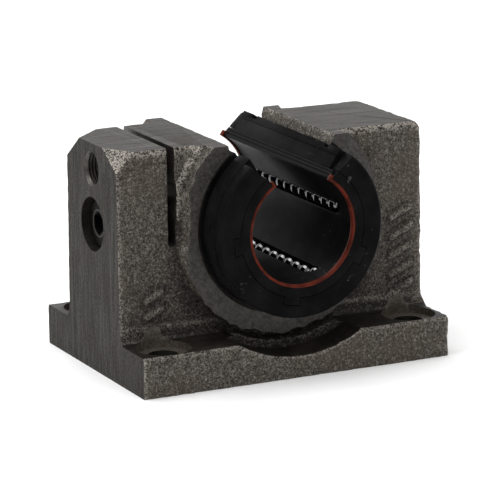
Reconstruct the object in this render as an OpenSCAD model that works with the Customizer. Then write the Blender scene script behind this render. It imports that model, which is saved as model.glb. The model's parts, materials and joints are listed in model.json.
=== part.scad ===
// Open linear ball bushing in an adjustable cast pillow block, for a 16 mm shaft.
// The shaft axis runs along Y. The origin is under the axis, on the plane the base rests on.

/* [Shaft and balls] */
// Diameter of the shaft that the bushing runs on
shaft_d = 16; // [15.9:0.05:16]
// Diameter of one ball
ball_d = 2.381; // [2.3:0.001:2.39]
// Distance between balls in a row
ball_pitch = 2.42; // [2.4:0.01:2.44]
// Balls in each straight row
row_balls = 10; // [6:1:10]
// Radius of the half circle in which the balls turn round
turn_r = 1.72; // [1.7:0.01:1.74]
// Radius at which the returning balls run, from the shaft axis
return_r = 10.6; // [10.55:0.01:10.62]

/* [Bushing] */
// Outer diameter of the bushing
bushing_d = 26; // [25.98:0.01:26]
// Overall length of the bushing
bushing_l = 36; // [35:0.5:38]
// Half of the angle that is left open for the shaft's support
open_a = 34; // [30:1:35]
// Lean of the end rings' cut faces, from vertical
ring_lean = 47; // [36:1:48]
// Wall of the outer sleeve
sleeve_wall = 1.15; // [1.1:0.01:1.2]
// Axial length of one end ring
end_ring_l = 2.4; // [2:0.1:2.5]
// Width of a retaining ring groove
groove_w = 1.3; // [1:0.1:1.3]
// Distance between the outer sides of the two retaining ring grooves
groove_span = 24.6; // [24.4:0.1:25.2]
// Diameter at the bottom of the grooves
groove_d = 24.9; // [24.6:0.1:25.4]
// Width of a load plate
plate_w = 3.5; // [3:0.1:3.6]
// Length of a load plate
plate_l = 21.2; // [18:0.1:21.2]
// How far a load plate can rock each way, in degrees
plate_rock = 0.5; // [0.2:0.1:0.5]

/* [Housing] */
// Width of the housing
housing_w = 50; // [49:0.5:53]
// Depth of the base, front to back
base_d = 35; // [34:0.5:40]
// Thickness of the base
base_t = 6; // [5:0.5:6.5]
// Height of the shaft axis above the base's underside
axis_h = 22; // [21.5:0.5:23]
// Height of the machined tops of the towers
top_h = 34; // [33.5:0.5:35.5]
// Depth of the towers, front to back
tower_d = 17.8; // [16:0.2:19]
// Radius of the towers' outer top corners
tower_corner_r = 3; // [1:0.5:4]
// Radius of the fillets between the towers and the feet
fillet_r = 2; // [1:0.5:3]
// Radius of the base's corners, seen from above
base_corner_r = 1.5; // [0.5:0.5:3]
// Outer radius of the ring around the bore
ring_r = 16; // [15.5:0.1:16.3]
// Depth of the ring, front to back
ring_d = 23; // [20:0.5:24]
// Radius of the hollow in the feet below the ring
scoop_r = 18.8; // [17.5:0.1:19.2]
// Half of the angle of the gap above the bore
gap_a = 37.5; // [36:0.5:40]
// Lean of the gap's two walls, from vertical
gap_lean = 19; // [10:1:40]

/* [Mounting holes] */
// Spacing of the mounting holes across the shaft
hole_span_x = 40; // [38:0.5:42]
// Spacing of the mounting holes along the shaft
hole_span_y = 26; // [25.5:0.5:28]
// Diameter of a mounting hole
hole_d = 4.5; // [4:0.1:5.5]
// Diameter of the spot face around a mounting hole
spot_d = 8; // [7.5:0.5:8]
// Depth of a spot face
spot_depth = 1; // [0.5:0.1:1.5]

/* [Clearance adjustment] */
// Distance from the housing's side to the middle of the slit
slit_from_side = 8.5; // [8.3:0.1:8.6]
// Width of the slit
slit_w = 1.2; // [0.8:0.1:1.4]
// Height at which the slit ends
slit_bottom = 19.45; // [18:0.05:19.5]
// Height of the adjusting screw's axis
adjuster_h = 30.2; // [30:0.1:30.5]
// Thread diameter of the adjusting screw
adjuster_d = 5; // [4:0.5:5]
// Length of the adjusting screw
adjuster_l = 6; // [5:0.5:6.5]
// Thread diameter of the locking screw
lock_d = 4; // [3.5:0.5:4]
// Diameter of the locking screw's head
lock_head_d = 7; // [6.5:0.1:7]
// Height of the locking screw's head
lock_head_l = 4; // [3.5:0.1:4]
// Diameter of the locking screw's counterbore
counterbore_d = 8; // [7.5:0.1:8]
// How far the screw's head lies below the housing's side
lock_sink = 1; // [0.7:0.1:1]

/* [Hidden] */
$fn = 96;

// Cuts run this far past the face that they open
past = 1;
// Length of cut that clears the whole object from any start
far = 30;

// Radial play between the bushing and its bore, and between a screw and its thread
bore_play = 0.01;
thread_play = 0.025;

// Bushing, measured from the shaft axis and from its middle
bushing_r = bushing_d / 2;
bushing_half = bushing_l / 2;
sleeve_bore_r = bushing_r - sleeve_wall;
body_half = bushing_half - end_ring_l;
bore_r = bushing_r + bore_play;

// Retainer: its bore clears the shaft, its outside fits the sleeve, its flange fits the end rings
retainer_bore_r = shaft_d / 2 + 0.25;
retainer_r = sleeve_bore_r - 0.05;
end_gap = 0.1;
flange_r = 9.85;
flange_gap = 0.1;
tab_r = 11;
tab_l = 1;
tab_half_a = 7;
tab_angles = [117, 190, 263];

// End rings stand just below the bushing's outside and have a chamfered outer edge
end_ring_r = bushing_r - 0.05;
end_ring_chamfer = 0.35;

// Wiper seals: a lip, and two ends that turn up on the cut faces
wiper_lip_r = shaft_d / 2 + 0.04;
wiper_r = wiper_lip_r + 0.45;
wiper_l = 0.8;
wiper_end_w = 0.4;
wiper_end_h = 0.95;
wiper_turn_a = 30;

// Side seals: a strip let into each cut face, with thin ribs standing out of it
strip_r0 = retainer_bore_r + 0.1;
strip_r1 = strip_r0 + 1.35;
strip_depth = 0.8;
strip_half = bushing_half - wiper_l - 0.1;
strip_ribs = 3;
rib_r = 0.15;

// Ball circuits: the loaded balls touch the shaft, the returning balls run further out
ball_r = ball_d / 2;
load_r = shaft_d / 2 + ball_r + 0.01;
circuits = 4;
circuit_step = 72;
track_gap = 2 * turn_r;
track_a = acos((pow(load_r, 2) + pow(return_r, 2) - pow(track_gap, 2)) / (2 * load_r * return_r));
row_l = row_balls * ball_pitch;
return_x = -return_r * sin(track_a);
return_z = return_r * cos(track_a);
turn_tilt = atan2(return_z - load_r, -return_x);

// Tunnels: each straight one is a little wider than the turns, and the load tunnel leaves room
// for the rocking plate
turn_tunnel_r = ball_r + 0.04;
return_tunnel_r = turn_tunnel_r + 0.02;
load_tunnel_r = ball_r + 0.02 + row_l / 2 * sin(plate_rock);

// Load plates: a groove below, a crowned back that touches the housing's bore
groove_play = 0.02;
raceway_r = ball_r + 0.05;
raceway_z = load_r + ball_r + groove_play - raceway_r;
plate_z0 = load_r + 0.55;
plate_z1 = bushing_r - 0.02;
plate_crown = 0.12;
plate_flat = 3;
plate_side_gap = 0.05;
plate_end_gap = 0.1;
plate_under_gap = 0.17;

// Housing, seen along the shaft
half_w = housing_w / 2;
tower_half = tower_d / 2;
ring_half = ring_d / 2;
base_half = base_d / 2;
slit_x = -half_w + slit_from_side;

// Adjusting screw: its point rests on the lip between the slit and the bore
lip_x = slit_x + slit_w / 2;
adjuster_x1 = lip_x - 0.02;
adjuster_x0 = adjuster_x1 - adjuster_l;
adjuster_hex = 2.5;
adjuster_hex_depth = 2.4;
adjuster_chamfer = 0.5;

// Locking screw: head in the counterbore, thread in the lip, dog point in the sleeve
lock_head_x0 = -half_w + lock_sink;
lock_head_x1 = lock_head_x0 + lock_head_l;
lock_hole_r = lock_d / 2 + 0.15;
lock_hex = 3;
lock_hex_depth = 2;
lock_edge = 0.3;
dog_r = 1.25;
dog_hole_r = 1.35;
dog_x0 = -bushing_r - 0.3;
dog_x1 = -sleeve_bore_r - 0.1;

cast_iron = "#6f675e";
black_plastic = "#1c1c1f";
seal_red = "#8c3b26";
seal_black = "#0f0f10";
ball_steel = "#d9dce0";
plate_steel = "#9a9da1";
screw_black = "#26262a";

// A point at radius r and angle a, clockwise from straight up
function polar(r, a) = [r * sin(a), r * cos(a)];

// Turns a flat outline in X and Z, drawn about the shaft axis, into a solid from y0 to y1
module along_y(y0, y1) {
  translate([0, y1, axis_h])
    rotate([90, 0, 0])
      linear_extrude(height = y1 - y0)
        children();
}

// A solid disc about the shaft axis
module disc(r, y0, y1) {
  translate([0, y1, axis_h])
    rotate([90, 0, 0])
      cylinder(h = y1 - y0, r = r);
}

// A round bar along X
module bar(r, x0, x1, z) {
  translate([x0, 0, z])
    rotate([0, 90, 0])
      cylinder(h = x1 - x0, r = r);
}

// A hexagon socket along X, of the given width across flats
module socket(width, x0, x1, z) {
  translate([x0, 0, z])
    rotate([0, 90, 0])
      cylinder(h = x1 - x0, r = width / 2 / cos(30), $fn = 6);
}

// The space above the axis, between walls that start at radius r and angle a and lean outwards
module opening(r, a, lean, y0, y1) {
  corner = polar(r, a);
  top = corner + polar(far, lean);
  along_y(y0, y1)
    polygon([[0, 0], corner, top, [-top[0], top[1]], [-corner[0], corner[1]]]);
}

// A piece of ring between two radii and two angles
module sector(r0, r1, a0, a1, y0, y1) {
  along_y(y0, y1)
    intersection() {
      difference() {
        circle(r = r1);
        circle(r = r0);
      }
      polygon([[0, 0], polar(far, a0), polar(far, (a0 + a1) / 2), polar(far, a1)]);
    }
}

// The same thing at the front end and, mirrored, at the rear end
module both_ends() {
  children();
  mirror([0, 1, 0])
    children();
}

// The frame of one circuit: Z runs outwards through the loaded row, the return row is towards -X
module at_circuit(n) {
  translate([0, 0, axis_h])
    rotate([0, n * circuit_step + track_a / 2, 0])
      children();
}

// The frame of one turn: the loaded row is at +turn_r and the return row at -turn_r along X
module at_turn(end) {
  translate([return_x / 2, end * row_l / 2, (load_r + return_z) / 2])
    rotate([0, turn_tilt, 0])
      children();
}

// ---- Housing ----

// The feet and towers, seen from the side
module side_outline() {
  translate([-base_half, 0])
    square([base_d, base_t]);
  translate([-tower_half, 0])
    square([tower_d, top_h]);
  for (side = [0, 1])
    mirror([side, 0])
      translate([tower_half, base_t])
        difference() {
          square(fillet_r);
          translate([fillet_r, fillet_r])
            circle(r = fillet_r);
        }
}

// The whole casting, seen from the front, with its rounded top corners
module front_outline() {
  translate([-half_w, 0])
    square([housing_w, top_h - tower_corner_r]);
  translate([-half_w + tower_corner_r, 0])
    square([housing_w - 2 * tower_corner_r, top_h]);
  for (side = [-1, 1])
    translate([side * (half_w - tower_corner_r), top_h - tower_corner_r])
      circle(r = tower_corner_r);
}

// The whole casting, seen from above, with its rounded corners
module base_outline() {
  square([housing_w - 2 * base_corner_r, base_d], center = true);
  square([housing_w, base_d - 2 * base_corner_r], center = true);
  for (x = [-1, 1], y = [-1, 1])
    translate([x * (half_w - base_corner_r), y * (base_half - base_corner_r)])
      circle(r = base_corner_r);
}

// The casting before it is machined
module casting() {
  difference() {
    intersection() {
      translate([-half_w, 0, 0])
        rotate([90, 0, 90])
          linear_extrude(height = housing_w)
            side_outline();
      translate([0, base_half, 0])
        rotate([90, 0, 0])
          linear_extrude(height = base_d)
            front_outline();
      linear_extrude(height = top_h)
        base_outline();
    }
    both_ends()
      disc(scoop_r, -base_half - past, -tower_half);
  }
  intersection() {
    disc(ring_r, -ring_half, ring_half);
    translate([-half_w, -base_half, 0])
      cube([housing_w, base_d, top_h]);
  }
}

module housing() {
  color(cast_iron)
    difference() {
      casting();
      disc(bore_r, -far, far);
      opening(bore_r, gap_a, gap_lean, -far, far);
      for (x = [-1, 1], y = [-1, 1])
        translate([x * hole_span_x / 2, y * hole_span_y / 2, 0]) {
          translate([0, 0, -past])
            cylinder(h = base_t + 2 * past, d = hole_d);
          translate([0, 0, base_t - spot_depth])
            cylinder(h = fillet_r + spot_depth, d = spot_d);
        }
      translate([slit_x - slit_w / 2, -far, slit_bottom])
        cube([slit_w, 2 * far, top_h]);
      bar(adjuster_d / 2, -half_w - past, slit_x, adjuster_h);
      bar(counterbore_d / 2, -half_w - past, lock_head_x1, axis_h);
      bar(lock_hole_r, -half_w, slit_x, axis_h);
      bar(lock_d / 2, slit_x, -bore_r + past, axis_h);
    }
}

module locking_screw() {
  color(screw_black)
    difference() {
      union() {
        bar(lock_head_d / 2 - lock_edge, lock_head_x0, lock_head_x0 + lock_edge, axis_h);
        bar(lock_head_d / 2, lock_head_x0 + lock_edge, lock_head_x1 - thread_play, axis_h);
        bar(lock_d / 2 - thread_play, lock_head_x0 + lock_edge, dog_x0, axis_h);
        bar(dog_r, lock_head_x0 + lock_edge, dog_x1, axis_h);
      }
      socket(lock_hex, lock_head_x0 - past, lock_head_x0 + lock_hex_depth, axis_h);
    }
}

module adjusting_screw() {
  color(screw_black)
    difference() {
      union() {
        bar(adjuster_d / 2 - thread_play, adjuster_x0, adjuster_x1 - adjuster_chamfer, adjuster_h);
        bar(adjuster_d / 2 - adjuster_chamfer, adjuster_x0, adjuster_x1, adjuster_h);
      }
      socket(adjuster_hex, adjuster_x0 - past, adjuster_x0 + adjuster_hex_depth, adjuster_h);
    }
}

// ---- Bushing ----

module outer_sleeve() {
  groove_out = groove_span / 2;
  color(black_plastic)
    difference() {
      disc(bushing_r, -body_half, body_half);
      disc(sleeve_bore_r, -far, far);
      both_ends()
        difference() {
          disc(bushing_r + past, -groove_out, -groove_out + groove_w);
          disc(groove_d / 2, -far, 0);
        }
      opening(retainer_bore_r, open_a, open_a, -far, far);
      for (n = [1 : circuits])
        at_circuit(n)
          plate_space(load_r);
      bar(dog_hole_r, -bushing_r - past, -sleeve_bore_r + past, axis_h);
    }
}

// The room that one load plate needs, from height z outwards
module plate_space(z) {
  w = plate_w + 2 * plate_side_gap;
  l = plate_l + 2 * plate_end_gap;
  translate([-w / 2, -l / 2, z])
    cube([w, l, far]);
}

// The closed path of one circuit: two straight tunnels joined by two half rings
module ball_path() {
  translate([0, row_l / 2, load_r])
    rotate([90, 0, 0])
      cylinder(h = row_l, r = load_tunnel_r);
  translate([return_x, row_l / 2, return_z])
    rotate([90, 0, 0])
      cylinder(h = row_l, r = return_tunnel_r);
  for (end = [-1, 1])
    at_turn(end)
      rotate([0, 0, end * 90 - 90])
        rotate_extrude(angle = 180)
          translate([turn_r, 0])
            circle(r = turn_tunnel_r);
  for (end = [-1, 1])
    translate([0, end * row_l / 2, load_r])
      sphere(r = load_tunnel_r);
}

// One side seal's strip, in the cut face at the right
module seal_strip(gap) {
  translate([0, 0, axis_h])
    rotate([0, open_a, 0])
      translate([-gap, -strip_half - gap, strip_r0 - gap])
        cube([strip_depth + 2 * gap, 2 * (strip_half + gap), strip_r1 - strip_r0 + 2 * gap]);
}

module ball_retainer() {
  color(black_plastic)
    difference() {
      union() {
        disc(retainer_r, -body_half + end_gap, body_half - end_gap);
        disc(flange_r, -bushing_half, bushing_half);
        both_ends()
          for (a = tab_angles)
            sector(flange_r - past, tab_r, a - tab_half_a, a + tab_half_a, -bushing_half, -bushing_half + tab_l);
      }
      disc(retainer_bore_r, -far, far);
      opening(retainer_bore_r, open_a, open_a, -far, far);
      both_ends() {
        opening(retainer_bore_r, open_a, ring_lean, -far, -body_half);
        disc(wiper_r, -far, -bushing_half + wiper_l);
      }
      for (n = [1 : circuits])
        at_circuit(n) {
          ball_path();
          plate_space(plate_z0 - plate_under_gap);
        }
      for (side = [0, 1])
        mirror([side, 0, 0])
          seal_strip(0.02);
    }
}

// One end ring, at the front
module end_ring() {
  difference() {
    union() {
      disc(end_ring_r, -bushing_half + end_ring_chamfer, -body_half);
      translate([0, -bushing_half + end_ring_chamfer, axis_h])
        rotate([90, 0, 0])
          cylinder(h = end_ring_chamfer, r1 = end_ring_r, r2 = end_ring_r - end_ring_chamfer);
    }
    disc(flange_r + flange_gap, -far, far);
    opening(retainer_bore_r, open_a, ring_lean, -far, far);
    for (a = tab_angles)
      sector(
        flange_r, tab_r + flange_gap, a - tab_half_a - 0.5, a + tab_half_a + 0.5,
        -bushing_half - past, -bushing_half + tab_l + flange_gap
      );
  }
}

module front_end_ring() {
  color(black_plastic)
    end_ring();
}

module rear_end_ring() {
  color(black_plastic)
    mirror([0, 1, 0])
      end_ring();
}

// One wiper seal, at the front
module wiper_seal() {
  y0 = -bushing_half;
  y1 = -bushing_half + wiper_l;
  difference() {
    union() {
      sector(wiper_lip_r - past, wiper_r, open_a, 180, y0, y1);
      sector(wiper_lip_r - past, wiper_r, 180, 360 - open_a, y0, y1);
      for (side = [0, 1])
        mirror([side, 0, 0])
          translate([0, y0, axis_h])
            rotate([0, open_a, 0])
              translate([-wiper_end_w, 0, wiper_lip_r - past])
                cube([wiper_end_w + 0.01, wiper_l, wiper_end_h + past]);
    }
    disc(wiper_lip_r, -far, far);
  }
}

module front_wiper_seal() {
  color(seal_red)
    wiper_seal();
}

module rear_wiper_seal() {
  color(seal_red)
    mirror([0, 1, 0])
      wiper_seal();
}

// The right side seal: a strip with ribs along it
module side_seal() {
  rib_step = (strip_r1 - strip_r0 - 2 * rib_r) / (strip_ribs - 1);
  seal_strip(0);
  for (i = [0 : strip_ribs - 1])
    translate([0, 0, axis_h])
      rotate([0, open_a, 0])
        translate([0, strip_half, strip_r0 + rib_r + i * rib_step])
          rotate([90, 0, 0])
            cylinder(h = 2 * strip_half, r = rib_r);
}

module left_side_seal() {
  color(seal_black)
    mirror([1, 0, 0])
      side_seal();
}

module right_side_seal() {
  color(seal_black)
    side_seal();
}

// ---- Load plates and balls ----

module load_plate(n) {
  half_l = plate_l / 2;
  color(plate_steel)
    at_circuit(n)
      difference() {
        intersection() {
          translate([-plate_w / 2, -plate_l, plate_z0])
            cube([plate_w, 2 * plate_l, plate_z1]);
          rotate([90, 0, 0])
            rotate_extrude()
              polygon([
                [0, -half_l], [plate_z1 - plate_crown, -half_l], [plate_z1, -plate_flat / 2],
                [plate_z1, plate_flat / 2], [plate_z1 - plate_crown, half_l], [0, half_l]
              ]);
        }
        translate([0, 0, raceway_z])
          rotate([90, 0, 0])
            cylinder(h = plate_l + past, r = raceway_r, center = true);
      }
}

// A straight row of balls in a circuit's frame
module ball_row(x, z) {
  for (i = [0 : row_balls - 1])
    translate([x, (i - (row_balls - 1) / 2) * ball_pitch, z])
      sphere(r = ball_r);
}

module load_row(n) {
  color(ball_steel)
    at_circuit(n)
      ball_row(0, load_r);
}

module return_row(n) {
  color(ball_steel)
    at_circuit(n)
      ball_row(return_x, return_z);
}

// The two balls that are going round one end of a circuit
module turn_balls(n, end) {
  color(ball_steel)
    at_circuit(n)
      at_turn(end)
        for (a = [45, 135])
          translate([turn_r * cos(a), end * turn_r * sin(a), 0])
            sphere(r = ball_r);
}

housing();
locking_screw();
adjusting_screw();
outer_sleeve();
ball_retainer();
front_end_ring();
rear_end_ring();
front_wiper_seal();
rear_wiper_seal();
left_side_seal();
right_side_seal();
load_plate(1);  // load_plate_1
load_plate(2);  // load_plate_2
load_plate(3);  // load_plate_3
load_plate(4);  // load_plate_4
load_row(1);  // load_row_1
load_row(2);  // load_row_2
load_row(3);  // load_row_3
load_row(4);  // load_row_4
return_row(1);  // return_row_1
return_row(2);  // return_row_2
return_row(3);  // return_row_3
return_row(4);  // return_row_4
turn_balls(1, -1);  // front_turn_1
turn_balls(2, -1);  // front_turn_2
turn_balls(3, -1);  // front_turn_3
turn_balls(4, -1);  // front_turn_4
turn_balls(1, 1);  // rear_turn_1
turn_balls(2, 1);  // rear_turn_2
turn_balls(3, 1);  // rear_turn_3
turn_balls(4, 1);  // rear_turn_4
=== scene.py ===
"""An open ball bushing in a slit cast pillow block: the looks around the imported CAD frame.

The casting is built as the real one is: a rough body with blended corners first, and then every
machined face, bore and hole is cut into it. Sizes below are in millimetres and become metres once.
"""

import json
import math

import bmesh
import bpy
import numpy as np
import openvdb
from mathutils import Matrix, Vector


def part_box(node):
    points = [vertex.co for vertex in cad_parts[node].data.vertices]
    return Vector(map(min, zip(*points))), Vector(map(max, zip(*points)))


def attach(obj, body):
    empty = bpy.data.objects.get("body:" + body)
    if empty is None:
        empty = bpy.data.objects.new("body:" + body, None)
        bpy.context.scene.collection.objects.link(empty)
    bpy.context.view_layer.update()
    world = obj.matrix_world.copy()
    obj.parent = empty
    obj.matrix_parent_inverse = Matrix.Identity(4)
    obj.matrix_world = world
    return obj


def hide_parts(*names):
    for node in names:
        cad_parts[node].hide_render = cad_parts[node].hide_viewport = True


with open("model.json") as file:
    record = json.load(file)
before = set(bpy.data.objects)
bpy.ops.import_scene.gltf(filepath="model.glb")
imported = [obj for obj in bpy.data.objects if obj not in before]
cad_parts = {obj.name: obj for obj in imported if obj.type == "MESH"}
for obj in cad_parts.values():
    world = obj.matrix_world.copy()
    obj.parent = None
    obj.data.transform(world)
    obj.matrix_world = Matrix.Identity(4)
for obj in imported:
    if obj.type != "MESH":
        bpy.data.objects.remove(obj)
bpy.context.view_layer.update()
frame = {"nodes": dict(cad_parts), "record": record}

MM = 0.001


def node_box(node):
    """A CAD node's lowest and highest corners, in millimetres."""
    low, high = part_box(node)
    return np.array(low) / MM, np.array(high) / MM


# ---- Sizes, read from the frame where a node shows them ----

HALF_W, BASE_HALF, TOP_Z = node_box("housing")[1]
MOUNTS = {m["name"]: m for m in frame["record"]["mounts"]}
AXIS_Z = MOUNTS["shaft_bore"]["pos_m"][2] / MM
HOLES = MOUNTS["base_holes"]["dims"]
HOLE_X = HOLES["spacing_x_mm"] / 2
HOLE_Y = HOLES["spacing_y_mm"] / 2
HOLE_R = HOLES["hole_r_mm"]
BORE_R = node_box("outer_sleeve")[1][0] + 0.01
SCREW_Z = AXIS_Z
ADJUSTER_Z = np.mean([node_box("adjusting_screw")[i][2] for i in (0, 1)])

BASE_T = 6.0
FOOT_FILLET = 1.3
FOOT_CUT_HEIGHT = 1.7
TOWER_HALF = 8.9
TOWER_DRAFT = 0.012
TOWER_CORNER_R = 2.9
RING_HALF = 11.5
RING_R = 16.1
RING_FLAT = 14.95
FACING_R = 17.2
SCOOP_R = 18.8
GAP_ANGLE = math.radians(37.5)
GAP_LEAN = math.radians(19)
SPOT_R = 4.0
SPOT_Z = 5.0
SLIT_X = (-17.1, -15.9)
SLIT_BOTTOM = 19.45
SLIT_END_WALL = 0.9
COUNTERBORE_R = 4.0
COUNTERBORE_X = -20.0
LOCK_HOLE_R = 2.15
THREAD_PITCH = 0.5
THREAD_CREST = 2.24
THREAD_ROOT = 2.5

# How far the cast sides stand inside the CAD box, which leaves room for the sand grain
SIDE_INSET = 0.2
# Reach of a cutter that only has to pass the body
FAR = 40

rng = np.random.default_rng(16)


# ---- Camera and light ----


def add_camera():
    """A long lens, placed by its turn round the object, its height and a small roll."""
    azimuth, elevation, roll = (math.radians(a) for a in (-26.23, 13.98, -0.53))
    back = Vector(
        (
            math.sin(azimuth) * math.cos(elevation),
            -math.cos(azimuth) * math.cos(elevation),
            math.sin(elevation),
        )
    )
    level = Vector((math.cos(azimuth), math.sin(azimuth), 0))
    upright = back.cross(level)
    right = math.cos(roll) * level + math.sin(roll) * upright
    up = math.cos(roll) * upright - math.sin(roll) * level
    aim = Vector((0, 0, 18))
    offset_right, offset_up, distance = 0.34, -2.73, 485.8
    place = (aim + right * offset_right + up * offset_up + back * distance) * MM
    turn = Matrix((right, up, back)).transposed().to_4x4()
    data = bpy.data.cameras.new("camera")
    data.sensor_width = 36
    data.lens = 236.2
    data.clip_start = 0.01
    data.clip_end = 20
    camera = bpy.data.objects.new("camera", data)
    camera.matrix_world = Matrix.Translation(place) @ turn
    bpy.context.scene.collection.objects.link(camera)
    bpy.context.scene.camera = camera


def add_area(name, place, size, power):
    """A soft box that faces the middle of the object."""
    data = bpy.data.lights.new(name, "AREA")
    data.shape = "RECTANGLE"
    data.size, data.size_y = size
    data.energy = power
    light = bpy.data.objects.new(name, data)
    towards = Vector((0, 0, 0.018)) - Vector(place)
    turn = towards.to_track_quat("-Z", "Y").to_matrix().to_4x4()
    light.matrix_world = Matrix.Translation(place) @ turn
    bpy.context.scene.collection.objects.link(light)


def add_studio():
    """A light tent: bright above and behind, dimmer in front, over a pale floor."""
    world = bpy.data.worlds.new("studio")
    world.use_nodes = True
    tree = world.node_tree
    direction = tree.nodes.new("ShaderNodeTexCoord").outputs["Generated"]
    split = tree.nodes.new("ShaderNodeSeparateXYZ")
    tree.links.new(direction, split.inputs["Vector"])
    up_back = tree.nodes.new("ShaderNodeMath")
    up_back.operation = "MULTIPLY_ADD"
    tree.links.new(split.outputs["Y"], up_back.inputs[0])
    up_back.inputs[1].default_value = 0.6
    tree.links.new(split.outputs["Z"], up_back.inputs[2])
    fade = tree.nodes.new("ShaderNodeMapRange")
    fade.interpolation_type = "SMOOTHSTEP"
    for key, number in (("From Min", -0.5), ("From Max", 1.0), ("To Min", 0.22), ("To Max", 1.0)):
        fade.inputs[key].default_value = number
    tree.links.new(up_back.outputs["Value"], fade.inputs["Value"])
    tree.links.new(fade.outputs["Result"], tree.nodes["Background"].inputs["Strength"])
    tree.nodes["Background"].inputs["Color"].default_value = (1, 1, 1, 1)
    bpy.context.scene.world = world
    bpy.context.scene.view_settings.view_transform = "Standard"
    add_area("top_box", (-0.10, 0.10, 0.50), (0.5, 0.35), 1.7)
    add_area("left_box", (-0.45, -0.12, 0.28), (0.10, 0.3), 0.22)
    add_area("front_box", (0.10, -0.50, 0.36), (0.3, 0.1), 0.40)
    bm = bmesh.new()
    bmesh.ops.create_grid(bm, x_segments=2, y_segments=2, size=1.5)
    floor = object_from_bmesh(bm, "floor")
    m = Nodes("floor_paper", roughness=0.9, specular=0.2)
    grain = m.noise(600, detail=2)
    m.colour(m.mix(grain, (0.95, 0.95, 0.95), (0.98, 0.98, 0.98)))
    floor.data.materials.append(m.material)


# ---- Material helpers ----


class Nodes:
    """Builds one procedural material, in metres of object space."""

    def __init__(self, name, roughness=0.5, metallic=0.0, specular=0.5):
        self.material = bpy.data.materials.new(name)
        self.material.use_nodes = True
        self.tree = self.material.node_tree
        self.shader = self.tree.nodes["Principled BSDF"]
        self.shader.inputs["Roughness"].default_value = roughness
        self.shader.inputs["Metallic"].default_value = metallic
        self.shader.inputs["Specular IOR Level"].default_value = specular
        self.place = self.add("ShaderNodeTexCoord").outputs["Object"]

    def add(self, kind, **settings):
        """Adds a node and sets its properties."""
        node = self.tree.nodes.new(kind)
        for key, value in settings.items():
            setattr(node, key, value)
        return node

    def link(self, value, socket):
        """Connects an output to a socket, or sets the socket where the value is a constant."""
        if isinstance(value, bpy.types.NodeSocket):
            self.tree.links.new(value, socket)
        elif socket.type == "RGBA" and len(value) == 3:
            socket.default_value = (*value, 1)
        else:
            socket.default_value = value

    def stretched(self, scale):
        """Object space with each axis scaled. Lines run along the axis with the small scale."""
        node = self.add("ShaderNodeMapping", vector_type="POINT")
        node.inputs["Scale"].default_value = scale
        self.link(self.place, node.inputs["Vector"])
        return node.outputs["Vector"]

    def noise(self, scale, detail=3.0, roughness=0.55, distortion=0.0, vector=None):
        node = self.add("ShaderNodeTexNoise")
        self.link(vector or self.place, node.inputs["Vector"])
        node.inputs["Scale"].default_value = scale
        node.inputs["Detail"].default_value = detail
        node.inputs["Roughness"].default_value = roughness
        node.inputs["Distortion"].default_value = distortion
        return node.outputs["Fac"]

    def cells(self, scale):
        """Distance to the nearest of scattered points."""
        node = self.add("ShaderNodeTexVoronoi", feature="F1")
        self.link(self.place, node.inputs["Vector"])
        node.inputs["Scale"].default_value = scale
        return node.outputs["Distance"]

    def attribute(self, name):
        return self.add("ShaderNodeAttribute", attribute_name=name).outputs["Fac"]

    def ramp(self, value, low, high, to_low=0.0, to_high=1.0):
        """Maps low..high onto to_low..to_high, smoothly and clamped."""
        node = self.add("ShaderNodeMapRange", interpolation_type="SMOOTHSTEP")
        self.link(value, node.inputs["Value"])
        limits = {"From Min": low, "From Max": high, "To Min": to_low, "To Max": to_high}
        for key, number in limits.items():
            node.inputs[key].default_value = number
        return node.outputs["Result"]

    def math(self, operation, a, b=0.0):
        node = self.add("ShaderNodeMath", operation=operation)
        self.link(a, node.inputs[0])
        self.link(b, node.inputs[1])
        return node.outputs["Value"]

    def mix(self, factor, a, b, blend="MIX"):
        node = self.add("ShaderNodeMix", data_type="RGBA", blend_type=blend)
        self.link(factor, node.inputs[0])
        self.link(a, node.inputs[6])
        self.link(b, node.inputs[7])
        return node.outputs[2]

    def colour(self, value):
        self.link(value, self.shader.inputs["Base Color"])

    def roughness(self, value):
        self.link(value, self.shader.inputs["Roughness"])

    def metallic(self, value):
        self.link(value, self.shader.inputs["Metallic"])

    def bump(self, *layers):
        """Stacks (height, depth in mm, strength) layers into one normal."""
        normal = None
        for height, depth, strength in layers:
            node = self.add("ShaderNodeBump")
            node.inputs["Distance"].default_value = depth * MM
            node.inputs["Strength"].default_value = strength
            self.link(height, node.inputs["Height"])
            if normal:
                self.link(normal, node.inputs["Normal"])
            normal = node.outputs["Normal"]
        self.link(normal, self.shader.inputs["Normal"])


# ---- Materials ----


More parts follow.
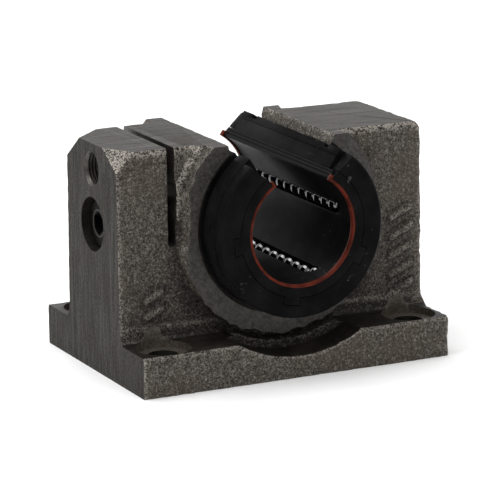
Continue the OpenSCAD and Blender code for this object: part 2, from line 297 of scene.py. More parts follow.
def cast_iron():
    """Sand-cast skin: brown-grey grain, bright worn edges with a painted highlight up the left
    shoulder, and dark hollows of oil and dirt mixed with painted shade.
    """
    m = Nodes("cast_iron", specular=0.2)
    grain = m.noise(4300, detail=2, roughness=0.6)
    sand = m.noise(1900, detail=3, roughness=0.65)
    patches = m.noise(140, detail=3)
    wear_and_highlight = m.attribute("wear_and_highlight")
    grime_and_shade = m.attribute("grime_and_shade")
    mixed = m.math("ADD", m.math("MULTIPLY", grain, 0.6), m.math("MULTIPLY", sand, 0.4))
    base = m.mix(m.ramp(mixed, 0.38, 0.60), (0.022, 0.018, 0.014), (0.130, 0.116, 0.099))
    base = m.mix(m.ramp(patches, 0.40, 0.68, 0.0, 0.5), base, (0.075, 0.056, 0.040))
    base = m.mix(m.ramp(mixed, 0.55, 0.64, 0.0, 0.7), base, (0.26, 0.245, 0.22))
    # The bright mix: worn edges, and the painted highlight up the left shoulder that comes in the
    # same attribute
    bright = m.math("MULTIPLY", wear_and_highlight, m.ramp(mixed, 0.44, 0.56, 0.0, 1.0))
    base = m.mix(bright, base, (0.36, 0.33, 0.295))
    # Darkening: dirt in the hollows, mixed with painted shade under the ring, round the foundry
    # marks and low on the tower faces
    dirt_and_shade = m.math("MULTIPLY", grime_and_shade, m.ramp(mixed, 0.45, 0.62, 0.95, 0.5))
    base = m.mix(dirt_and_shade, base, (0.012, 0.010, 0.008))
    m.colour(base)
    m.metallic(m.math("MULTIPLY", bright, 0.35))
    rough = m.ramp(grain, 0.35, 0.65, 0.68, 0.46)
    m.roughness(m.math("SUBTRACT", rough, m.math("MULTIPLY", grime_and_shade, 0.12)))
    m.bump((sand, 0.34, 1.0), (grain, 0.14, 1.0))
    return m.material


def tinted(tint, *factors):
    """A tint made lighter or darker by one factor, or by one factor for each channel."""
    if len(factors) == 1:
        factors = factors * 3
    return tuple(c * k for c, k in zip(tint, factors))


def machined(name, lines, tint, roughness, ridge, specular=0.4, metallic=0.3, speckle=0.5):
    """Cut iron: fine tool lines along one axis, over a grey-brown metal."""
    m = Nodes(name, metallic=metallic, specular=specular)
    marks = m.noise(1.0, detail=4, roughness=0.7, vector=m.stretched(lines))
    grain = m.noise(2400, detail=3, roughness=0.65)
    patches = m.noise(160, detail=3)
    base = m.mix(m.ramp(marks, 0.3, 0.7), tinted(tint, 0.6), tinted(tint, 1.35))
    base = m.mix(m.ramp(grain, 0.50, 0.66, 0.0, speckle), base, tinted(tint, 0.35))
    base = m.mix(m.ramp(grain, 0.50, 0.36, 0.0, speckle), base, tinted(tint, 1.7))
    base = m.mix(m.ramp(patches, 0.4, 0.75, 0.0, 0.4), base, tinted(tint, 0.8, 0.7, 0.6))
    m.colour(base)
    m.roughness(m.ramp(marks, 0.3, 0.7, roughness + 0.12, roughness - 0.06))
    m.bump((marks, ridge, 0.6), (grain, 0.08, 0.6))
    return m.material


def dark_cut():
    """The walls of the slit and of the deep holes: cut metal with oil on it."""
    m = Nodes("oiled_cut", metallic=0.2, specular=0.4)
    marks = m.noise(1.0, detail=3, vector=m.stretched((900, 900, 5200)))
    oil = m.noise(300, detail=3)
    base = m.mix(m.ramp(marks, 0.3, 0.7), (0.012, 0.010, 0.008), (0.035, 0.032, 0.028))
    m.colour(m.mix(m.ramp(oil, 0.4, 0.7, 0.0, 0.7), base, (0.008, 0.006, 0.005)))
    m.roughness(m.ramp(oil, 0.3, 0.7, 0.42, 0.28))
    m.bump((marks, 0.03, 0.7))
    return m.material


def shaded_oily_foot():
    """The milled tops of the feet, under a dark film of oil and dirt, and darker still with
    painted shade.
    """
    m = Nodes("shaded_oily_foot", specular=0.2)
    marks = m.noise(1.0, detail=3, vector=m.stretched((500, 2600, 2600)))
    grain = m.noise(2600, detail=3)
    oil = m.noise(210, detail=4)
    # Very dark: the oil film, plus painted shade between the walls above the feet
    base = m.mix(m.ramp(marks, 0.3, 0.7), (0.007, 0.0055, 0.0045), (0.014, 0.0115, 0.0095))
    base = m.mix(m.ramp(oil, 0.48, 0.72), base, (0.024, 0.020, 0.017))
    m.colour(m.mix(m.ramp(grain, 0.62, 0.72, 0.0, 0.5), base, (0.09, 0.08, 0.07)))
    m.roughness(m.ramp(oil, 0.3, 0.7, 0.50, 0.36))
    m.bump((grain, 0.06, 0.5), (marks, 0.03, 0.4))
    return m.material


def moulded_plastic(name, tone, roughness, scratches):
    """Black moulded plastic: a soft sheen with fine scratches and a few pale specks."""
    m = Nodes(name, specular=0.015)
    skin = m.noise(2400, detail=3)
    cloud = m.noise(220, detail=3)
    fine = m.noise(1.0, detail=2, distortion=0.6, vector=m.stretched((420, 5200, 900)))
    cross = m.noise(1.0, detail=2, distortion=0.9, vector=m.stretched((2600, 500, 3400)))
    scratch = m.math("MAXIMUM", m.ramp(fine, 0.70, 0.75), m.ramp(cross, 0.71, 0.76))
    speck = m.ramp(m.cells(1500), 0.10, 0.05)
    speck = m.math("MULTIPLY", speck, m.ramp(cloud, 0.6, 0.7))
    base = m.mix(m.ramp(cloud, 0.3, 0.7), tinted(tone, 0.7), tinted(tone, 1.4))
    base = m.mix(m.math("MULTIPLY", scratch, scratches * 0.35), base, (0.12, 0.12, 0.125))
    m.colour(m.mix(m.math("MULTIPLY", speck, 0.7), base, (0.4, 0.4, 0.4)))
    rough = m.ramp(cloud, 0.25, 0.75, roughness + 0.05, roughness - 0.05)
    m.roughness(m.math("ADD", rough, m.math("MULTIPLY", scratch, 0.2)))
    m.bump((skin, 0.012, 0.35), (scratch, -0.01, 0.4))
    return m.material


def red_seal():
    """The wiper's red-brown elastomer, a little darker where it is worn."""
    m = Nodes("red_seal", roughness=0.35, specular=0.06)
    cloud = m.noise(500, detail=3)
    grain = m.noise(3800, detail=2)
    m.colour(m.mix(m.ramp(cloud, 0.3, 0.7), (0.045, 0.007, 0.004), (0.11, 0.017, 0.008)))
    m.roughness(m.ramp(cloud, 0.3, 0.7, 0.26, 0.38))
    m.bump((grain, 0.01, 0.4))
    return m.material


def black_seal():
    """Soft black rubber with a faint bloom."""
    m = Nodes("black_seal", roughness=0.45, specular=0.04)
    cloud = m.noise(700, detail=3)
    m.colour(m.mix(m.ramp(cloud, 0.35, 0.75), (0.004, 0.004, 0.0045), (0.011, 0.011, 0.012)))
    m.roughness(m.ramp(cloud, 0.3, 0.7, 0.38, 0.5))
    m.bump((m.noise(3500, detail=2), 0.01, 0.4))
    return m.material


def ball_steel():
    """Polished bearing steel, with traces of oil."""
    m = Nodes("ball_steel", roughness=0.06, metallic=1.0)
    oil = m.noise(900, detail=2)
    m.colour(m.mix(m.ramp(oil, 0.3, 0.7), (0.09, 0.09, 0.093), (0.16, 0.16, 0.164)))
    m.roughness(m.ramp(oil, 0.35, 0.75, 0.03, 0.09))
    return m.material


def plate_steel():
    """Ground, hardened steel."""
    m = Nodes("plate_steel", metallic=1.0)
    marks = m.noise(1.0, detail=3, vector=m.stretched((5000, 150, 5000)))
    m.colour(m.mix(m.ramp(marks, 0.3, 0.7), (0.42, 0.41, 0.40), (0.60, 0.60, 0.60)))
    m.roughness(m.ramp(marks, 0.3, 0.7, 0.22, 0.34))
    m.bump((marks, 0.006, 0.4))
    return m.material


def black_oxide():
    """Blackened screw steel, with oil on it, and rubbed bright round the locking screw's socket.
    """
    rim_r = 1.95
    rim_edge = (0.16, 0.06)
    m = Nodes("black_oxide", metallic=0.0, specular=0.02)
    split = m.add("ShaderNodeSeparateXYZ")
    m.link(m.place, split.inputs["Vector"])
    across = m.math("POWER", split.outputs["Y"], 2.0)
    height = m.math("POWER", m.math("SUBTRACT", split.outputs["Z"], SCREW_Z * MM), 2.0)
    reach = m.math("POWER", m.math("ADD", across, height), 0.5)
    from_rim = m.math("ABSOLUTE", m.math("SUBTRACT", reach, rim_r * MM))
    rim = m.ramp(from_rim, rim_edge[0] * MM, rim_edge[1] * MM)
    cloud = m.noise(600, detail=3)
    grain = m.noise(3000, detail=3)
    base = m.mix(m.ramp(cloud, 0.35, 0.7), (0.0022, 0.0022, 0.0026), (0.006, 0.0057, 0.0054))
    m.colour(m.mix(m.math("MULTIPLY", rim, 0.8), base, (0.07, 0.067, 0.062)))
    m.roughness(m.ramp(grain, 0.3, 0.7, 0.28, 0.42))
    m.bump((grain, 0.01, 0.5))
    return m.material


# ---- Mesh helpers ----


def object_from_bmesh(bm, name):
    """Puts a finished bmesh into the scene as a new object, and frees it."""
    mesh = bpy.data.meshes.new(name)
    bm.to_mesh(mesh)
    bm.free()
    thing = bpy.data.objects.new(name, mesh)
    bpy.context.scene.collection.objects.link(thing)
    return thing


def scaled(points):
    """Points in millimetres, as metres."""
    return [tuple(float(c) * MM for c in p) for p in points]


def lathe(name, profile, origin, axis, segments=128):
    """A closed solid of revolution. The profile is a list of (radius, distance along the axis)."""
    axis = Vector(axis).normalized()
    side = axis.orthogonal().normalized()
    other = axis.cross(side)
    bm = bmesh.new()
    rings = []
    for radius, along in profile:
        ring = []
        for i in range(segments):
            a = 2 * math.pi * i / segments
            p = Vector(origin) + axis * along + (side * math.cos(a) + other * math.sin(a)) * radius
            ring.append(bm.verts.new(p * MM))
        rings.append(ring)
    for lower, upper in zip(rings, rings[1:]):
        for i in range(segments):
            j = (i + 1) % segments
            bm.faces.new((lower[i], lower[j], upper[j], upper[i]))
    bm.faces.new(list(reversed(rings[0])))
    bm.faces.new(rings[-1])
    bmesh.ops.recalc_face_normals(bm, faces=bm.faces)
    return object_from_bmesh(bm, name)


def prism(name, outline, low, high, axis):
    """An outline of (u, v) points pushed along one axis, from low to high."""
    bm = bmesh.new()
    ends = []
    for t in (low, high):
        if axis == "x":
            points = [(t, u, v) for u, v in outline]
        elif axis == "y":
            points = [(u, t, v) for u, v in outline]
        else:
            points = [(u, v, t) for u, v in outline]
        ends.append([bm.verts.new(p) for p in scaled(points)])
    n = len(outline)
    bm.faces.new(ends[0])
    bm.faces.new(list(reversed(ends[1])))
    for i in range(n):
        j = (i + 1) % n
        bm.faces.new((ends[0][j], ends[0][i], ends[1][i], ends[1][j]))
    bmesh.ops.recalc_face_normals(bm, faces=bm.faces)
    return object_from_bmesh(bm, name)


def rectangle(u0, u1, v0, v1):
    """A rectangle's corners, in order."""
    return [(u0, v0), (u1, v0), (u1, v1), (u0, v1)]


def cut(body, cutter, material):
    """Takes the cutter out of the body. The new faces take the cutter's material."""
    cutter.data.materials.append(material)
    if material.name not in [m.name for m in body.data.materials]:
        body.data.materials.append(material)
    modifier = body.modifiers.new("cut", "BOOLEAN")
    modifier.operation = "DIFFERENCE"
    modifier.solver = "MANIFOLD"
    modifier.object = cutter
    graph = bpy.context.evaluated_depsgraph_get()
    mesh = bpy.data.meshes.new_from_object(body.evaluated_get(graph))
    old = body.data
    body.modifiers.clear()
    body.data = mesh
    bpy.data.meshes.remove(old)
    bpy.data.objects.remove(cutter)


def smooth_by_angle(mesh, degrees):
    """Shades the mesh smooth, except across edges sharper than the angle."""
    mesh.polygons.foreach_set("use_smooth", np.ones(len(mesh.polygons), bool))
    mesh.set_sharp_from_angle(angle=math.radians(degrees))


# ---- The casting, as a distance field ----

STEP = 0.25
FIELD_LOW = np.array([-HALF_W - 1.5, -BASE_HALF - 1.5, -2.4])
FIELD_HIGH = np.array([HALF_W + 1.5, BASE_HALF + 1.5, TOP_Z + 3.0])


def field_axes():
    """The grid's coordinates along each axis, in millimetres, shaped to broadcast."""
    count = np.ceil((FIELD_HIGH - FIELD_LOW) / STEP).astype(int) + 1
    x, y, z = (FIELD_LOW[i] + STEP * np.arange(count[i], dtype=np.float32) for i in range(3))
    return x[:, None, None], y[None, :, None], z[None, None, :]


def blend_min(a, b, radius):
    """Joins two solids with a fillet."""
    h = np.clip(0.5 + 0.5 * (b - a) / radius, 0, 1)
    return b + (a - b) * h - radius * h * (1 - h)


def blend_max(a, b, radius):
    """Keeps what two solids share, with a rounded edge."""
    return -blend_min(-a, -b, radius)


def rounded_block(x, y, z, low, high, radius):
    """A box with all its edges rounded."""
    middle = [(a + b) / 2 for a, b in zip(low, high)]
    half = [(b - a) / 2 - radius for a, b in zip(low, high)]
    d = [np.abs(c - m) - h for c, m, h in zip((x, y, z), middle, half)]
    outside = np.sqrt(sum(np.maximum(c, 0) ** 2 for c in d))
    inside = np.minimum(np.maximum(np.maximum(d[0], d[1]), d[2]), 0)
    return outside + inside - radius


def value_noise(shape, cell):
    """Smooth seeded noise from -1 to 1 on the field's grid. The cell is a bump's width in mm."""
    ratio = cell / STEP
    coarse = rng.uniform(-1, 1, [int(n / ratio) + 3 for n in shape]).astype(np.float32)
    for axis, n in enumerate(shape):
        t = np.arange(n) / ratio
        i = t.astype(int)
        f = (t - i).astype(np.float32)
        f = f * f * (3 - 2 * f)
        bend = [1, 1, 1]
        bend[axis] = n
        f = f.reshape(bend)
        coarse = np.take(coarse, i, axis) * (1 - f) + np.take(coarse, i + 1, axis) * f
    return coarse


def marks_field(x, y, z):
    """Distance to the raised foundry marks on the front: plain slanted bars that spell nothing."""
    far_off = 10.0
    slant = 0.45
    half_t = 0.55
    front, back = -TOWER_HALF - 0.6, -TOWER_HALF + 1
    columns = ((20.8, 2.0, (9.0, 11.9, 14.8, 17.7, 20.6)), (-19.6, 1.5, (10.2, 12.6)))
    field = far_off
    for middle, half, heights in columns:
        level = z - slant * (x - middle)
        for height in heights:
            low = (middle - half, front, height - half_t)
            high = (middle + half, back, height + half_t)
            field = np.minimum(field, rounded_block(x, y, level, low, high, 0.4))
    return field


def bead_offset(x, r):
    """How far a point is from the line of the rough bead that runs up beside the ring."""
    return np.maximum(r - RING_R - 0.55, np.abs(x) - RING_FLAT - 0.5)


def casting_field():
    """Distance to the casting before machining, first smooth and then with its sand grain."""
    x, y, z = field_axes()
    r = np.sqrt(x**2 + (z - AXIS_Z) ** 2) + 0 * y
    shape = r.shape
    right = HALF_W - SIDE_INSET
    past_left = -HALF_W - 1.2
    below_base = -6
    foot_end = BASE_HALF - SIDE_INSET
    low = (past_left, -foot_end, below_base)
    feet = rounded_block(x, y, z, low, (right, foot_end, BASE_T + 0.3), 0.9)
    trough = np.maximum(r - SCOOP_R + 1.3, TOWER_HALF + 0.6 - np.abs(y))
    scoop = np.maximum(r - SCOOP_R + 0.15, RING_HALF + 0.5 - np.abs(y))
    feet = blend_max(feet, -np.minimum(trough, scoop), 0.4)
    lean = np.abs(y) + TOWER_DRAFT * (z - AXIS_Z)
    low = (past_left, -TOWER_HALF, below_base)
    towers = rounded_block(x, lean, z, low, (right, TOWER_HALF, TOP_Z + 3), 1.0)
    dx = np.maximum(x - (right - TOWER_CORNER_R), 0)
    dz = np.maximum(z - (TOP_Z + 0.3 - TOWER_CORNER_R), 0)
    shoulder = np.sqrt(dx**2 + dz**2) - TOWER_CORNER_R + 0 * y
    towers = blend_max(towers, shoulder, 0.8)
    field = blend_min(feet, towers, 2.4)
    ragged = value_noise(shape, 2.6)
    grit = value_noise(shape, 1.1)
    below = np.clip((AXIS_Z - z) / RING_R, 0, 1) ** 2
    edge = 0.24 * ragged + 0.20 * grit
    ring = np.maximum(r - RING_R - 0.45 * below + edge, np.abs(y) - RING_HALF - 0.6)
    ring = np.maximum(ring, np.abs(x) - RING_FLAT + edge + 0.25 * (np.abs(y) - RING_HALF))
    field = blend_min(field, ring, 0.6)
    bead = np.hypot(bead_offset(x, r), np.abs(y) - TOWER_HALF - 0.1) - 0.55 + 0.1 * grit
    field = blend_min(field, np.maximum(bead, np.maximum(x, 23.5 - z)), 0.5)
    field = blend_max(field, x - right + 0 * r, 0.6)
    lean_x = BORE_R * math.sin(GAP_ANGLE)
    lean_z = AXIS_Z + BORE_R * math.cos(GAP_ANGLE)
    wall = (np.abs(x) - lean_x) * math.cos(GAP_LEAN) - (z - lean_z) * math.sin(GAP_LEAN)
    gap = np.maximum(wall, AXIS_Z - z) + 0 * y
    field = blend_max(field, -gap, 0.5)
    field = blend_min(field, marks_field(x, y, z), 0.25)
    blowholes = ((15.3, -8.9, 30.6, 0.42), (15.4, -8.9, 29.7, 0.3), (9.4, -17.5, 1.9, 0.4))
    for px, py, pz, radius in blowholes:
        pit = np.sqrt((x - px) ** 2 + (y - py) ** 2 + (z - pz) ** 2) - radius
        field = blend_max(field, -pit, 0.25)
    skin = 0.05 * ragged + 0.07 * grit + 0.10 * value_noise(shape, 0.75)
    pits = np.clip(value_noise(shape, 1.0) - 0.74, 0, 1)
    return field, field + 0.02 + skin + 0.7 * pits


def mesh_from_field(field, name):
    """Meshes the surface where the field is zero."""
    background = 10.0
    grid = openvdb.FloatGrid(background)
    grid.copyFromArray(np.ascontiguousarray(field, dtype=np.float32))
    points, quads = grid.convertToQuads(isovalue=0.0)
    points = (points * STEP + FIELD_LOW) * MM
    mesh = bpy.data.meshes.new(name)
    mesh.from_pydata(points.tolist(), [], quads.tolist())
    bm = bmesh.new()
    bm.from_mesh(mesh)
    bmesh.ops.recalc_face_normals(bm, faces=bm.faces)
    bpy.data.meshes.remove(mesh)
    return object_from_bmesh(bm, name)


def sample(field, points):
    """The field's value at points, in millimetres."""
    g = (points - FIELD_LOW) / STEP
    i = np.clip(g.astype(int), 0, np.array(field.shape) - 2)
    f = g - i
    total = 0
    for a in (0, 1):
        for b in (0, 1):
            for c in (0, 1):
                weight = (
                    np.where(a, f[:, 0], 1 - f[:, 0])
                    * np.where(b, f[:, 1], 1 - f[:, 1])
                    * np.where(c, f[:, 2], 1 - f[:, 2])
                )
                total = total + weight * field[i[:, 0] + a, i[:, 1] + b, i[:, 2] + c]
    return total


def box_blur(field, reach, rounds=2):
    """A running mean over 2 * reach + 1 samples along each axis."""
    for _ in range(rounds):
        for axis in range(3):
            margins = [(reach + 1, reach) if k == axis else (0, 0) for k in range(3)]
            padded = np.pad(field, margins, mode="edge")
            total = np.cumsum(padded, axis=axis, dtype=np.float64)
            n = field.shape[axis]
            upper = np.take(total, np.arange(2 * reach + 1, 2 * reach + 1 + n), axis)
            lower = np.take(total, np.arange(0, n), axis)
            field = ((upper - lower) / (2 * reach + 1)).astype(np.float32)
    return field


def add_attribute(mesh, name, values):
    """Stores one number from 0 to 1 at each vertex, for the materials to read."""
    attribute = mesh.attributes.new(name, "FLOAT", "POINT")
    attribute.data.foreach_set("value", np.clip(values, 0, 1).astype(np.float32))


def thread_profile(x0, x1, crest, root):
    """Radius along a thread made of plain grooves, from x0 to x1."""
    profile = [(crest, x0)]
    x = x0
    while x + THREAD_PITCH <= x1:
        profile += [
            (crest, x + 0.1 * THREAD_PITCH),
            (root, x + 0.45 * THREAD_PITCH),
            (root, x + 0.6 * THREAD_PITCH),
            (crest, x + 0.95 * THREAD_PITCH),
        ]
        x += THREAD_PITCH
    profile.append((crest, x1))
    return profile


def cut_plane(body, point, normal, material, size=14):
    """Grinds away what lies on the normal's side of a plane."""
    cutter = prism("plane", rectangle(-size, size, -size, size), 0, size, "z")
    turn = Vector(normal).to_track_quat("Z", "Y").to_matrix().to_4x4()
    cutter.data.transform(Matrix.Translation(Vector(point) * MM) @ turn)
    cut(body, cutter, material)


def cut_round(body, name, profile, origin, axis, material, segments=128):
    """Takes a turned shape out of the body."""
    cut(body, lathe(name, profile, origin, axis, segments), material)


def machine_outside(body, materials):
    """Grinds the left side, mills the tops and the underside, and returns the corner facets."""
    everything = rectangle(-FAR, FAR, -FAR, FAR)
    cut(body, prism("side", everything, -FAR, -HALF_W, "x"), materials["ground"])
    facets = []
    for along, across, down in ((-4.0, -22.0, 31.0), (4.2, -20.0, 30.5)):
        end = math.copysign(TOWER_HALF, along)
        first = Vector((-HALF_W, along, TOP_Z))
        on_top = Vector((across, end, TOP_Z)) - first
        on_side = Vector((-HALF_W, end, down)) - first
        normal = on_top.cross(on_side).normalized()
        if normal.z < 0:
            normal = -normal
        cut_plane(body, first, normal, materials["cast"])
        facets.append((first, normal))
    cut(body, prism("tops", everything, TOP_Z, TOP_Z + 10, "z"), materials["milled"])
    cut(body, prism("under", everything, -10, 0, "z"), materials["milled"])
    return facets


def foot_outline(end):
    """The milled foot's section, with the fillet that the cutter leaves at the tower."""
    wall = TOWER_HALF + 0.3
    steps = 8
    outline = [(end * FAR, BASE_T), (end * (wall + FOOT_FILLET), BASE_T)]
    for i in range(1, steps + 1):
        a = math.pi / 2 * i / steps
        across = wall + FOOT_FILLET * (1 - math.sin(a))
        outline.append((end * across, BASE_T + FOOT_FILLET * (1 - math.cos(a))))
    top = BASE_T + FOOT_CUT_HEIGHT
    return outline + [(end * wall, top), (end * FAR, top)]


def machine_ends(body, materials):
    """Mills the feet, scoops them out round the ring, and faces the ring."""
    oil_and_shade, faced = materials["oil_and_shade"], materials["faced"]
    room_r = RING_R + 1.9
    for end in (-1, 1):
        axis = (0, end, 0)
        ring_end = (0, end * RING_HALF, AXIS_Z)
        milled_foot = prism("milled_foot", foot_outline(end), -FAR, FAR, "x")
        room = [(room_r, -FAR), (room_r, FAR)]
        cut_round(milled_foot, "ring_room", room, (0, 0, AXIS_Z), (0, 1, 0), oil_and_shade, 96)
        cut(body, milled_foot, oil_and_shade)
        scoop_end = (0, end * (RING_HALF + 0.75), AXIS_Z)
        cut_round(body, "scoop", [(SCOOP_R, 0), (SCOOP_R, FAR)], scoop_end, axis, oil_and_shade, 192)
        cut_round(body, "facing", [(FACING_R, 0), (FACING_R, 6)], ring_end, axis, faced)
        mouth = [(BORE_R - 0.5, -1.1), (BORE_R + 1.15, 0.55)]
        cut_round(body, "mouth", mouth, ring_end, axis, faced)
    bore = [(BORE_R, -FAR), (BORE_R, FAR)]
    cut_round(body, "bore", bore, (0, 0, AXIS_Z), (0, 1, 0), faced, 192)


def drill_base(body, materials):
    """Drills the four mounting holes and spot-faces them."""
    up = (0, 0, 1)
    for x in (-HOLE_X, HOLE_X):
        for y in (-HOLE_Y, HOLE_Y):
            hole = [(HOLE_R, -2), (HOLE_R, 9)]
            cut_round(body, "hole", hole, (x, y, 0), up, materials["bored"], 64)
            spot = [(SPOT_R, SPOT_Z), (SPOT_R + 0.02, SPOT_Z + 3)]
            cut_round(body, "spot", spot, (x, y, 0), up, materials["spot"], 96)


def cut_slit(body, materials):
    """Saws the slit, with a round bottom, up to the walls at its ends."""
    left, right = SLIT_X
    radius = (right - left) / 2
    steps = 12
    outline = [(left, TOP_Z + 2), (left, SLIT_BOTTOM + radius)]
    for i in range(1, steps):
        a = math.pi * i / steps
        across = left + radius * (1 - math.cos(a))
        outline.append((across, SLIT_BOTTOM + radius * (1 - math.sin(a))))
    outline += [(right, SLIT_BOTTOM + radius), (right, TOP_Z + 2)]
    end = RING_HALF - SLIT_END_WALL
    cut(body, prism("slit", outline, -end, end, "y"), materials["bored"])


def drill_side(body, materials):
    """Drills the locking screw's stepped hole and the adjusting screw's tapped hole."""
    axis = (1, 0, 0)
    depth = HALF_W + COUNTERBORE_X
    head = [(COUNTERBORE_R, -3), (COUNTERBORE_R, depth)]
    cut_round(body, "counterbore", head, (-HALF_W, 0, SCREW_Z), axis, materials["bored"], 96)
    shank = [(LOCK_HOLE_R, 0), (LOCK_HOLE_R, 12)]
    cut_round(body, "shank", shank, (-HALF_W + 1, 0, SCREW_Z), axis, materials["bored"], 64)
    mouth_r = THREAD_ROOT + 0.15
    profile = [(mouth_r, -2), (mouth_r, 0.02), (THREAD_ROOT, 0.2)]
    profile += thread_profile(0.5, SLIT_X[0] + HALF_W + 0.3, THREAD_CREST, THREAD_ROOT)
    cut_round(body, "tapped", profile, (-HALF_W, 0, ADJUSTER_Z), axis, materials["thread"], 96)


def peak(distance, width):
    """1 at no distance, falling away smoothly over about the width."""
    return np.exp(-((distance / width) ** 2))


def paint(mesh, smooth, facets):
    """Writes where the casting is worn bright, with a painted highlight up the left shoulder, and
    where dirt has gathered, with painted shade under the ring, round the foundry marks and low on
    the tower faces.
    """
    points = np.zeros(len(mesh.vertices) * 3)
    mesh.vertices.foreach_get("co", points)
    points = points.reshape(-1, 3) / MM
    x, y, z = field_axes()
    edged = np.maximum(smooth, np.maximum(-HALF_W - x, z - TOP_Z))
    near = sample(box_blur(edged, 1) - edged, points)
    wide = sample(box_blur(smooth, 6) - smooth, points)
    x, y, z = points.T
    r = np.hypot(x, z - AXIS_Z)
    out = np.abs(y)
    on_tower_face = (out < TOWER_HALF + 0.6) * (out > TOWER_HALF - 1)
    beside = peak(bead_offset(x, r), 0.6) * peak(out - TOWER_HALF - 0.3, 0.8)
    # Painted highlight: the bead beside the ring is made bright on its upper left part, as if the
    # light caught it
    painted_highlight_streak = beside * np.clip((z - 22.5) / 4, 0, 1) * (x < 0)
    lip = peak(z - TOP_Z + 0.3, 0.7) * peak(out - TOWER_HALF, 0.8)
    ledge = peak(z - BASE_T - 2.0, 0.55) * (out > TOWER_HALF - 0.5) * (r > RING_R + 0.8)
    facet = 0
    for first, normal in facets:
        facet = facet + (np.abs((points - np.array(first)) @ np.array(normal)) < 0.12)
    marks = marks_field(x, y, z)
    on_marks = peak(np.maximum(marks, 0), 0.5)
    # Painted shadow round the raised foundry marks on the front
    painted_shadow_round_marks = (marks > 0.1) * peak(marks - 0.25, 0.3) * (y < 0)
    # Worn edges, lips, ledges and ground facets, plus the painted highlight up the left shoulder
    wear_and_highlight = (0.42 - 0.3 * on_marks) * (near - 0.01) / 0.05
    wear_and_highlight = wear_and_highlight + 1.0 * painted_highlight_streak + 1.1 * lip + 0.6 * ledge + 0.7 * facet
    # Painted shade: darker under the ring and close round its lower part
    below = np.clip((15 - z) / 8, 0, 1) * np.clip((20.0 - r) / 2.2, 0, 1) * (out < 12.7)
    # Painted shade: the tower faces get darker towards the bottom
    painted_shade_low_down = 0.42 * np.clip((25 - z) / 12, 0, 1) * on_tower_face
    # Wide hollows darken: dirt that gathers there, and painted shade
    hollows = (-wide - 0.05) / 0.55
    # Dirt and painted shade, summed into one darkening
    grime_and_shade = (hollows + 0.85 * below + 0.95 * painted_shadow_round_marks + painted_shade_low_down) * (1 - 0.8 * ledge)
    add_attribute(mesh, "wear_and_highlight", wear_and_highlight)
    add_attribute(mesh, "grime_and_shade", grime_and_shade)


def make_housing(materials):
    """Casts the housing, machines it, and puts it in the place of the CAD housing."""
    smooth, rough = casting_field()
    body = mesh_from_field(rough, "housing_casting")
    body.data.materials.append(materials["cast"])
    facets = machine_outside(body, materials)
    machine_ends(body, materials)
    drill_base(body, materials)
    cut_slit(body, materials)
    drill_side(body, materials)
    mesh = body.data
    # The fillets above the feet keep the casting's skin, which is the first slot
    oil_and_shade = mesh.materials.find(materials["oil_and_shade"].name)
    for face in mesh.polygons:
        if face.material_index == oil_and_shade and face.center.z > (BASE_T + 0.3) * MM:
            face.material_index = 0
    smooth_by_angle(mesh, 42)
    paint(mesh, smooth, facets)
    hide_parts("housing")
    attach(body, "housing_body")


# ---- The bushing's pieces ----


def softened(node, name, material, width, segments=2):
    """A copy of a fixed CAD node's mesh whose edges are rounded as a moulding's are."""
    weld = 0.0015
    sliver = 0.0005
    flat_angle = 0.05
    source = frame["nodes"][node]
    bm = bmesh.new()
    bm.from_mesh(source.data)
    bmesh.ops.remove_doubles(bm, verts=bm.verts, dist=weld * MM)
    bmesh.ops.dissolve_degenerate(bm, dist=sliver * MM, edges=bm.edges)
    paired = [e for e in bm.edges if len(e.link_faces) == 2]
    flat = [e for e in paired if e.calc_face_angle(0) < math.radians(flat_angle)]
    bmesh.ops.dissolve_edges(bm, edges=flat, use_verts=False)
    piece = object_from_bmesh(bm, name)
    piece.data.materials.append(material)
    modifier = piece.modifiers.new("edges", "BEVEL")
    modifier.width = width * MM
    modifier.segments = segments
    modifier.limit_method = "ANGLE"
    modifier.angle_limit = math.radians(35)
    modifier.use_clamp_overlap = True
    graph = bpy.context.evaluated_depsgraph_get()
    piece.data = bpy.data.meshes.new_from_object(piece.evaluated_get(graph))
    piece.modifiers.clear()
    smooth_by_angle(piece.data, 32)
    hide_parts(node)
    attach(piece, "housing_body")


def dress(node, material):
    """Gives a CAD node whose shape is right its finished material."""
    mesh = frame["nodes"][node].data
    mesh.materials.clear()
    mesh.materials.append(material)


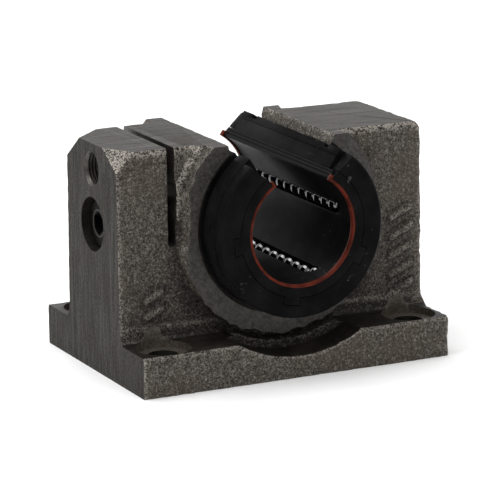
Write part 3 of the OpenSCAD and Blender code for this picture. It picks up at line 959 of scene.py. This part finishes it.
def make_bushing(materials):
    """Softens the mouldings' edges, and gives the other CAD nodes their materials."""
    for node, name in (
        ("front_end_ring", "front_ring"),
        ("rear_end_ring", "rear_ring"),
        ("outer_sleeve", "sleeve"),
        ("ball_retainer", "retainer"),
    ):
        softened(node, name, materials["plastic"], 0.07)
    for node, name in (("front_wiper_seal", "front_wiper"), ("rear_wiper_seal", "rear_wiper")):
        softened(node, name, materials["red_seal"], 0.14, segments=3)
    for side in ("left", "right"):
        dress(f"{side}_side_seal", materials["black_seal"])
    for n in range(1, 5):
        dress(f"load_plate_{n}", materials["plate"])
        for kind in ("load_row", "return_row", "front_turn", "rear_turn"):
            dress(f"{kind}_{n}", materials["balls"])
    for screw in ("locking_screw", "adjusting_screw"):
        dress(screw, materials["screw"])


add_camera()
add_studio()
MATERIALS = {
    "cast": cast_iron(),
    "milled": machined(
        "milled_top", (90, 1500, 1500), (0.045, 0.041, 0.037), 0.48, 0.10, specular=0.22
    ),
    "ground": machined(
        "ground_side",
        (1900, 1900, 150),
        (0.032, 0.029, 0.0255),
        0.55,
        0.12,
        specular=0.1,
        metallic=0.0,
        speckle=0.8,
    ),
    "faced": machined(
        "faced_ring",
        (1300, 500, 1300),
        (0.044, 0.040, 0.036),
        0.46,
        0.06,
        metallic=0.1,
        speckle=0.7,
    ),
    # Spot faces: the tint is raised well above the other cut faces as painted light, so their
    # walls look lit
    "spot": machined(
        "spot_faced", (1800, 1800, 1800), (0.115, 0.098, 0.082), 0.30, 0.03, metallic=0.4
    ),
    "thread": machined(
        "tapped_thread", (1200, 1200, 1200), (0.07, 0.064, 0.058), 0.30, 0.02, metallic=0.6
    ),
    "oil_and_shade": shaded_oily_foot(),
    "bored": dark_cut(),
    "plastic": moulded_plastic("black_plastic", (0.0056, 0.0056, 0.0060), 0.33, scratches=0.9),
    "red_seal": red_seal(),
    "black_seal": black_seal(),
    "balls": ball_steel(),
    "plate": plate_steel(),
    "screw": black_oxide(),
}
make_housing(MATERIALS)
make_bushing(MATERIALS)
